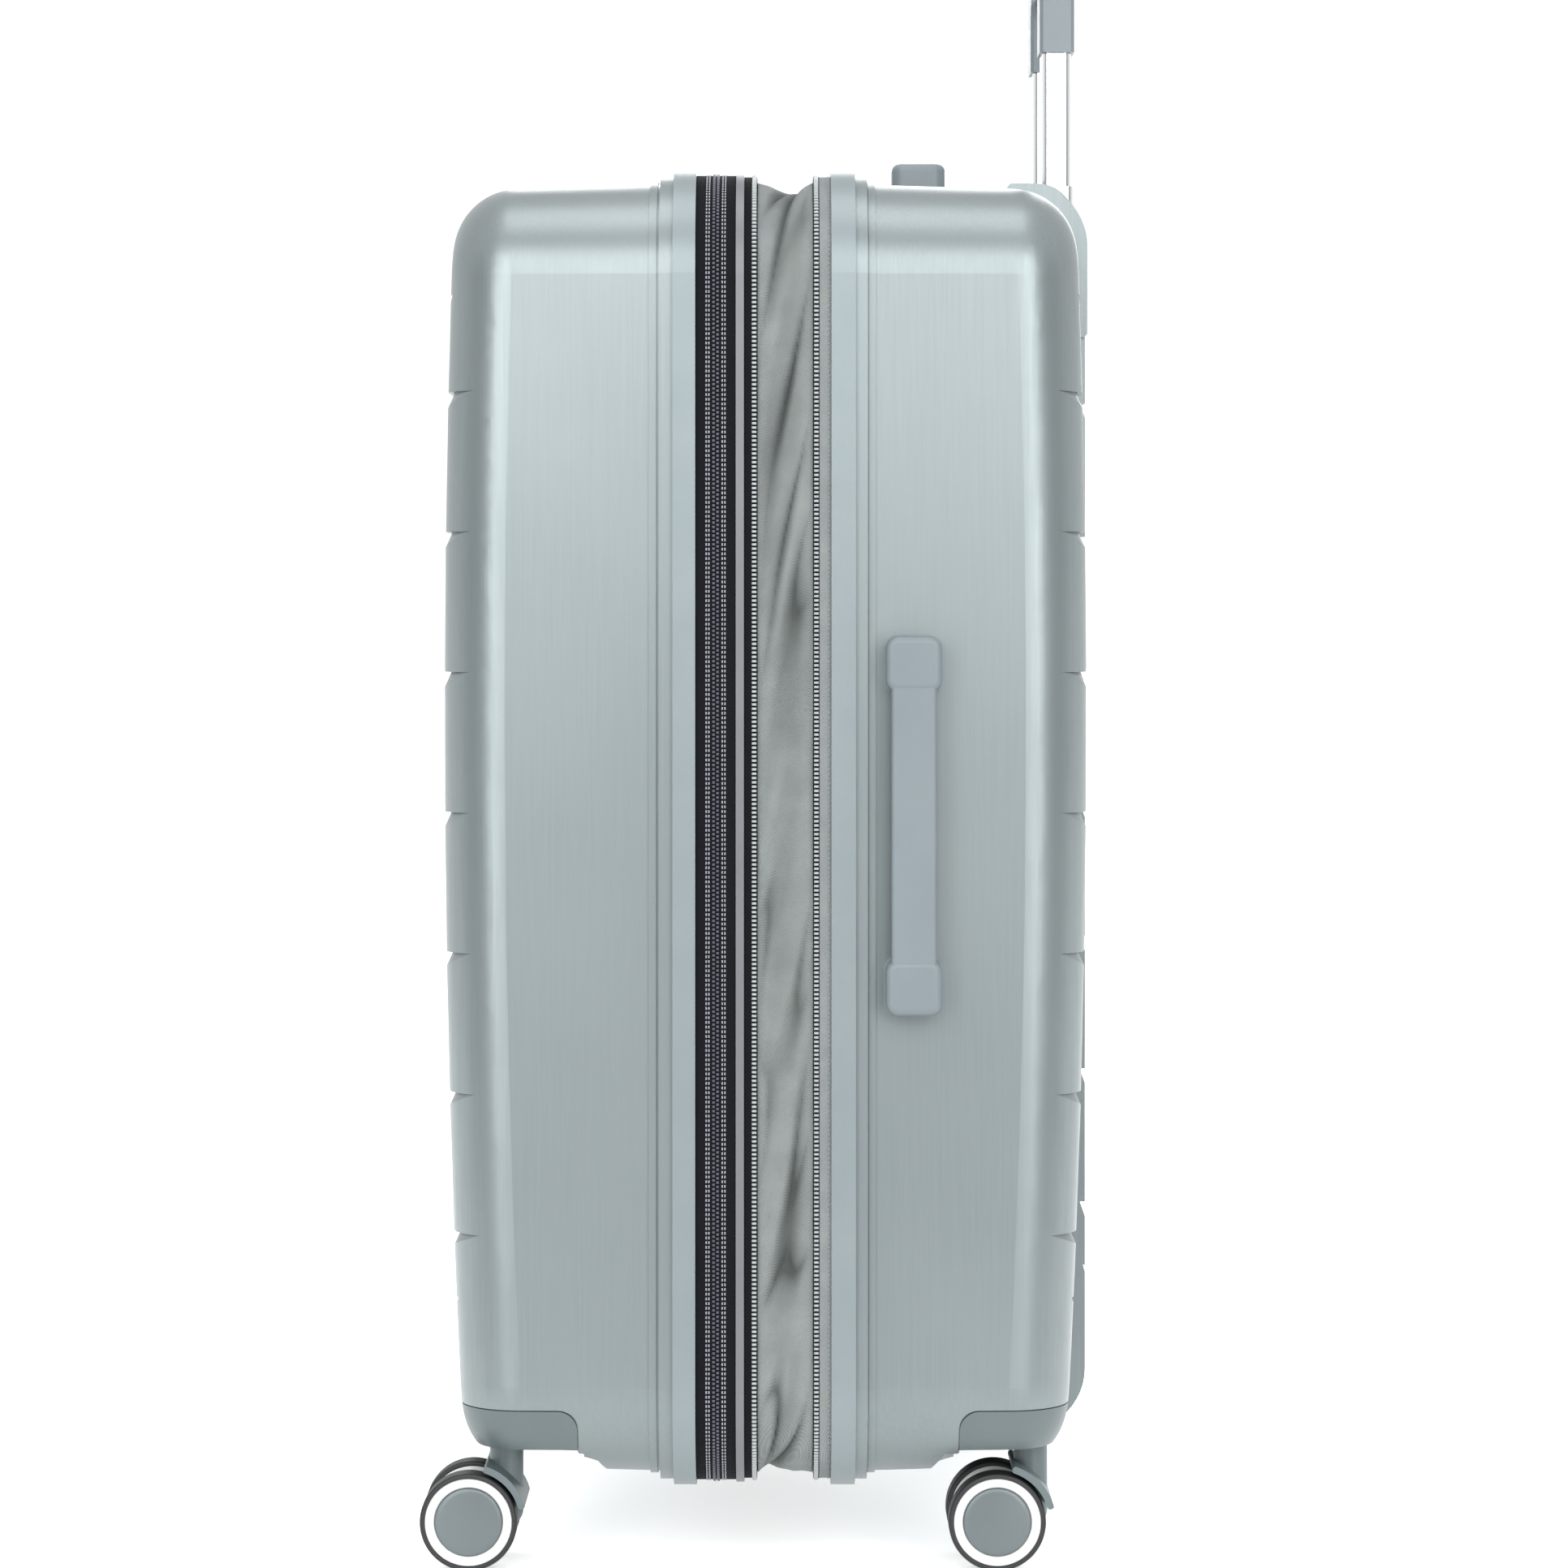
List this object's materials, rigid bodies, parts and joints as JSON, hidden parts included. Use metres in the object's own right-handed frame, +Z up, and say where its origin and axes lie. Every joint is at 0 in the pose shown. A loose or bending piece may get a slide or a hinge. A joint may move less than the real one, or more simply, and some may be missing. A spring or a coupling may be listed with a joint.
{
  "type": "hard shell suitcase on wheels",
  "caption": "Large hard shell zip suitcase with ribbed faces, fabric expansion band, telescopic trolley, sprung carry handles, recessed lock and twin-wheel swivel casters.",
  "frame": {"origin": "on the floor under the middle of the case", "axes": "+Z up, +X from the lid to the trolley side, +Y from the side-handle side to the hinge side"},
  "size_m": [0.3835, 0.5281, 0.9485],
  "materials": {
    "shell_plastic": "moulded polycarbonate, satin silver with fine vertical grain",
    "rim_plastic": "satin moulded frame",
    "zip_tape": "woven polyester tape with coil",
    "gusset_fabric": "woven polyester",
    "housing_plastic": "moulded ABS",
    "caster_plastic": "glass-filled nylon",
    "caster_ring": "moulded wheel body",
    "caster_tyre": "soft tread",
    "steel": "turned pin",
    "runner_rubber": "moulded rubber",
    "sleeve_aluminium": "mill finish extrusion",
    "polished_aluminium": "bright anodised extrusion",
    "trim_plastic": "moulded nylon",
    "handle_plastic": "soft-touch moulding",
    "button_plastic": "moulded nylon",
    "lock_zinc": "painted die casting",
    "dial_plastic": "moulded acetal",
    "pull_metal": "plated zinc"
  },
  "bodies": {
    "rear_case": {"rear_shell": "shell_plastic", "rear_rim": "rim_plastic", "rear_expansion_zip": "gusset_fabric", "gusset": "gusset_fabric", "trolley_sleeves": "sleeve_aluminium", "trolley_bezel": "trim_plastic", "side_handle_base": "trim_plastic", "top_handle_base": "trim_plastic", "rear_near_housing": "housing_plastic", "rear_far_housing": "housing_plastic", "rear_runner": "runner_rubber"},
    "mid_frame": {"mid_frame": "rim_plastic", "mid_zip": "zip_tape", "mid_expansion_zip": "gusset_fabric"},
    "lid": {"lid_shell": "shell_plastic", "lid_rim": "rim_plastic", "lid_zip": "zip_tape", "lid_runner": "runner_rubber", "front_near_housing": "housing_plastic", "front_far_housing": "housing_plastic", "lock_body": "lock_zinc"},
    "trolley_middle": {"trolley_middle_tube_near": "polished_aluminium", "trolley_middle_tube_far": "polished_aluminium"},
    "trolley_inner": {"trolley_inner_tube_near": "polished_aluminium", "trolley_inner_tube_far": "polished_aluminium", "trolley_grip": "handle_plastic"},
    "trolley_button": {"trolley_button": "button_plastic"},
    "side_handle": {"side_handle": "handle_plastic"},
    "top_handle": {"top_handle": "handle_plastic"},
    "lock_button": {"lock_button": "button_plastic"},
    "lock_dial_1": {"lock_dial_1": "dial_plastic"},
    "lock_dial_2": {"lock_dial_2": "dial_plastic"},
    "lock_dial_3": {"lock_dial_3": "dial_plastic"},
    "zip_pull_near": {"zip_pull_near": "pull_metal"},
    "zip_pull_far": {"zip_pull_far": "pull_metal"},
    "front_near_caster": {"front_near_fork": "caster_plastic", "front_near_axle": "steel"},
    "front_near_wheel_a": {"front_near_tyre_a": "caster_tyre", "front_near_hub_a": "caster_ring"},
    "front_near_wheel_b": {"front_near_tyre_b": "caster_tyre", "front_near_hub_b": "caster_ring"},
    "front_far_caster": {"front_far_fork": "caster_plastic", "front_far_axle": "steel"},
    "front_far_wheel_a": {"front_far_tyre_a": "caster_tyre", "front_far_hub_a": "caster_ring"},
    "front_far_wheel_b": {"front_far_tyre_b": "caster_tyre", "front_far_hub_b": "caster_ring"},
    "rear_near_caster": {"rear_near_fork": "caster_plastic", "rear_near_axle": "steel"},
    "rear_near_wheel_a": {"rear_near_tyre_a": "caster_tyre", "rear_near_hub_a": "caster_ring"},
    "rear_near_wheel_b": {"rear_near_tyre_b": "caster_tyre", "rear_near_hub_b": "caster_ring"},
    "rear_far_caster": {"rear_far_fork": "caster_plastic", "rear_far_axle": "steel"},
    "rear_far_wheel_a": {"rear_far_tyre_a": "caster_tyre", "rear_far_hub_a": "caster_ring"},
    "rear_far_wheel_b": {"rear_far_tyre_b": "caster_tyre", "rear_far_hub_b": "caster_ring"}
  },
  "joints": [
    {"name": "expansion_slide", "type": "slide", "parent": "rear_case", "child": "mid_frame", "axis": [1, 0, 0], "range_m": [0, 0.0312], "deforming": ["gusset"]},
    {"name": "lid_hinge", "type": "hinge", "parent": "mid_frame", "child": "lid", "pos_m": [-0.0231, 0.2606, 0.4155], "axis": [0, 0, -1], "range_deg": [0, 175]},
    {"name": "trolley_middle_slide", "type": "slide", "parent": "rear_case", "child": "trolley_middle", "axis": [0, 0, 1], "range_m": [0, 0.1]},
    {"name": "trolley_inner_slide", "type": "slide", "parent": "trolley_middle", "child": "trolley_inner", "axis": [0, 0, 1], "range_m": [-0.0785, 0.03]},
    {"name": "trolley_button_press", "type": "slide", "parent": "trolley_inner", "child": "trolley_button", "axis": [0, 0, -1], "range_m": [0, 0.0022], "stiffness_N_per_m": 800, "springref_m": -0.001},
    {"name": "side_handle_pull", "type": "slide", "parent": "rear_case", "child": "side_handle", "axis": [0, -1, 0], "range_m": [0, 0.014], "stiffness_N_per_m": 150, "springref_m": -0.01},
    {"name": "top_handle_pull", "type": "slide", "parent": "rear_case", "child": "top_handle", "axis": [0, 0, 1], "range_m": [0, 0.014], "stiffness_N_per_m": 150, "springref_m": -0.01},
    {"name": "lock_button_press", "type": "slide", "parent": "lid", "child": "lock_button", "axis": [0, 0, -1], "range_m": [0, 0.0018], "stiffness_N_per_m": 300, "springref_m": -0.001},
    {"name": "lock_dial_1_turn", "type": "hinge", "parent": "lid", "child": "lock_dial_1", "pos_m": [-0.0815, -0.008, 0.77718], "axis": [0, 1, 0], "continuous": true},
    {"name": "lock_dial_2_turn", "type": "hinge", "parent": "lid", "child": "lock_dial_2", "pos_m": [-0.0815, 0, 0.77718], "axis": [0, 1, 0], "continuous": true},
    {"name": "lock_dial_3_turn", "type": "hinge", "parent": "lid", "child": "lock_dial_3", "pos_m": [-0.0815, 0.008, 0.77718], "axis": [0, 1, 0], "continuous": true},
    {"name": "zip_pull_near_lift", "type": "hinge", "parent": "lid", "child": "zip_pull_near", "pos_m": [-0.028, -0.017, 0.7906], "axis": [0, 1, 0], "range_deg": [0, 150]},
    {"name": "zip_pull_far_lift", "type": "hinge", "parent": "lid", "child": "zip_pull_far", "pos_m": [-0.028, 0.0365, 0.7906], "axis": [0, 1, 0], "range_deg": [0, 150]},
    {"name": "front_near_swivel", "type": "hinge", "parent": "lid", "child": "front_near_caster", "pos_m": [-0.142, -0.2, 0.07], "axis": [0, 0, 1], "continuous": true},
    {"name": "front_near_wheel_a_roll", "type": "hinge", "parent": "front_near_caster", "child": "front_near_wheel_a", "pos_m": [-0.162, -0.2, 0.0273], "axis": [0, 1, 0], "continuous": true},
    {"name": "front_near_wheel_b_roll", "type": "hinge", "parent": "front_near_caster", "child": "front_near_wheel_b", "pos_m": [-0.162, -0.2, 0.0273], "axis": [0, 1, 0], "continuous": true},
    {"name": "front_far_swivel", "type": "hinge", "parent": "lid", "child": "front_far_caster", "pos_m": [-0.142, 0.2, 0.07], "axis": [0, 0, 1], "continuous": true},
    {"name": "front_far_wheel_a_roll", "type": "hinge", "parent": "front_far_caster", "child": "front_far_wheel_a", "pos_m": [-0.162, 0.2, 0.0273], "axis": [0, 1, 0], "continuous": true},
    {"name": "front_far_wheel_b_roll", "type": "hinge", "parent": "front_far_caster", "child": "front_far_wheel_b", "pos_m": [-0.162, 0.2, 0.0273], "axis": [0, 1, 0], "continuous": true},
    {"name": "rear_near_swivel", "type": "hinge", "parent": "rear_case", "child": "rear_near_caster", "pos_m": [0.1545, -0.2, 0.07], "axis": [0, 0, 1], "continuous": true},
    {"name": "rear_near_wheel_a_roll", "type": "hinge", "parent": "rear_near_caster", "child": "rear_near_wheel_a", "pos_m": [0.1345, -0.2, 0.0273], "axis": [0, 1, 0], "continuous": true},
    {"name": "rear_near_wheel_b_roll", "type": "hinge", "parent": "rear_near_caster", "child": "rear_near_wheel_b", "pos_m": [0.1345, -0.2, 0.0273], "axis": [0, 1, 0], "continuous": true},
    {"name": "rear_far_swivel", "type": "hinge", "parent": "rear_case", "child": "rear_far_caster", "pos_m": [0.1545, 0.2, 0.07], "axis": [0, 0, 1], "continuous": true},
    {"name": "rear_far_wheel_a_roll", "type": "hinge", "parent": "rear_far_caster", "child": "rear_far_wheel_a", "pos_m": [0.1345, 0.2, 0.0273], "axis": [0, 1, 0], "continuous": true},
    {"name": "rear_far_wheel_b_roll", "type": "hinge", "parent": "rear_far_caster", "child": "rear_far_wheel_b", "pos_m": [0.1345, 0.2, 0.0273], "axis": [0, 1, 0], "continuous": true}
  ]
}
